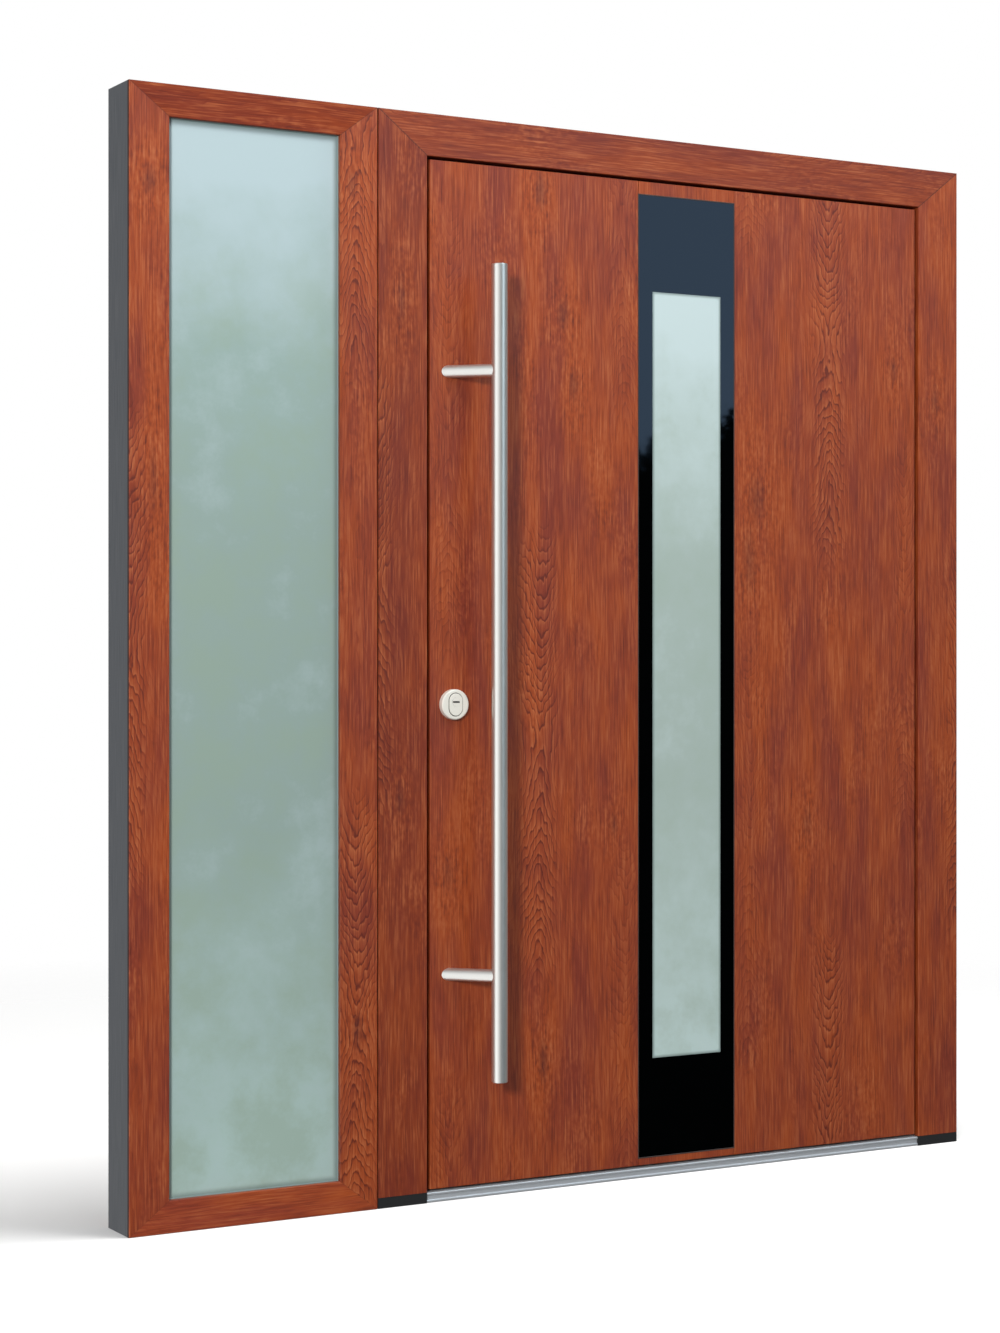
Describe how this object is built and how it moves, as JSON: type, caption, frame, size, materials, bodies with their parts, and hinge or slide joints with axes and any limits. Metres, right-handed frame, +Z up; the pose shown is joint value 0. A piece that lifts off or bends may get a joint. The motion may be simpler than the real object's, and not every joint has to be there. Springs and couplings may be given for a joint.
{
  "type": "entrance door with sidelight",
  "caption": "Inward-opening entrance door set: flush wood-decor leaf with a black glass strip and satin window, bar handle, mitred frame and a fixed satin-glazed sidelight on the lock side.",
  "frame": {"origin": "on the underside of the threshold, at mid width and mid depth of the frame", "axes": "+X to the right as seen from outside, +Y into the house, +Z up"},
  "size_m": [1.945, 0.255, 2.13],
  "materials": {
    "wood_foil": "wood-decor foil, satin",
    "anthracite": "powder coated, fine texture",
    "satin_glass": "acid-etched",
    "clear_glass": "polished float glass",
    "black_glass": "back-enamelled glass, polished",
    "stainless": "brushed",
    "nickel": "satin nickel",
    "aluminium": "anodised",
    "black_plastic": "moulded, matt",
    "black_rubber": "extruded, matt",
    "foam": "rigid foam",
    "silicone": "pale joint sealant"
  },
  "bodies": {
    "frame": {"coupling_strip": "black_plastic", "door_head": "wood_foil", "frame_seal": "black_rubber", "hinge_frame_halves": "stainless", "jamb_hinge": "wood_foil", "jamb_lock": "wood_foil", "sidelight_beads": "wood_foil", "sidelight_head": "wood_foil", "sidelight_inner_gasket": "black_rubber", "sidelight_inner_pane": "clear_glass", "sidelight_outer_gasket": "black_rubber", "sidelight_outer_pane": "satin_glass", "sidelight_sill": "wood_foil", "sidelight_spacer": "aluminium", "sidelight_stile_left": "wood_foil", "sidelight_stile_right": "wood_foil", "strike_plate": "stainless", "threshold_break": "black_plastic", "threshold_end_blocks": "black_plastic", "threshold_sill": "aluminium"},
    "leaf": {"glass_surround_inner": "black_glass", "glass_surround_outer": "black_glass", "handle_bar": "stainless", "handle_support_lower": "stainless", "handle_support_upper": "stainless", "hinge_leaf_halves": "stainless", "inner_lock_rosette": "stainless", "inner_skin": "wood_foil", "inside_lever": "stainless", "lever_rosette": "stainless", "lock_bolts": "stainless", "lock_cover": "nickel", "lock_faceplate": "stainless", "lock_rosette": "nickel", "outer_skin_above_glass": "wood_foil", "outer_skin_below_glass": "wood_foil", "outer_skin_hinge_side": "wood_foil", "outer_skin_lock_side": "wood_foil", "panel_core": "foam", "sash_bottom_rail": "anthracite", "sash_stile_hinge": "anthracite", "sash_stile_lock": "anthracite", "sash_top_rail": "anthracite", "window_edge_frame": "black_plastic", "window_pane_inner": "clear_glass", "window_pane_outer": "satin_glass"},
    "plug": {"key_plug": "nickel"}
  },
  "joints": [
    {"name": "leaf_hinge", "type": "hinge", "parent": "frame", "child": "leaf", "pos_m": [0.8875, 0.0645, 1.1], "axis": [0, 0, -1], "range_deg": [0, 100]},
    {"name": "key_turn", "type": "hinge", "parent": "leaf", "child": "plug", "pos_m": [-0.2915, -0.048, 0.979], "axis": [0, 1, 0], "range_deg": [0, 360]}
  ]
}
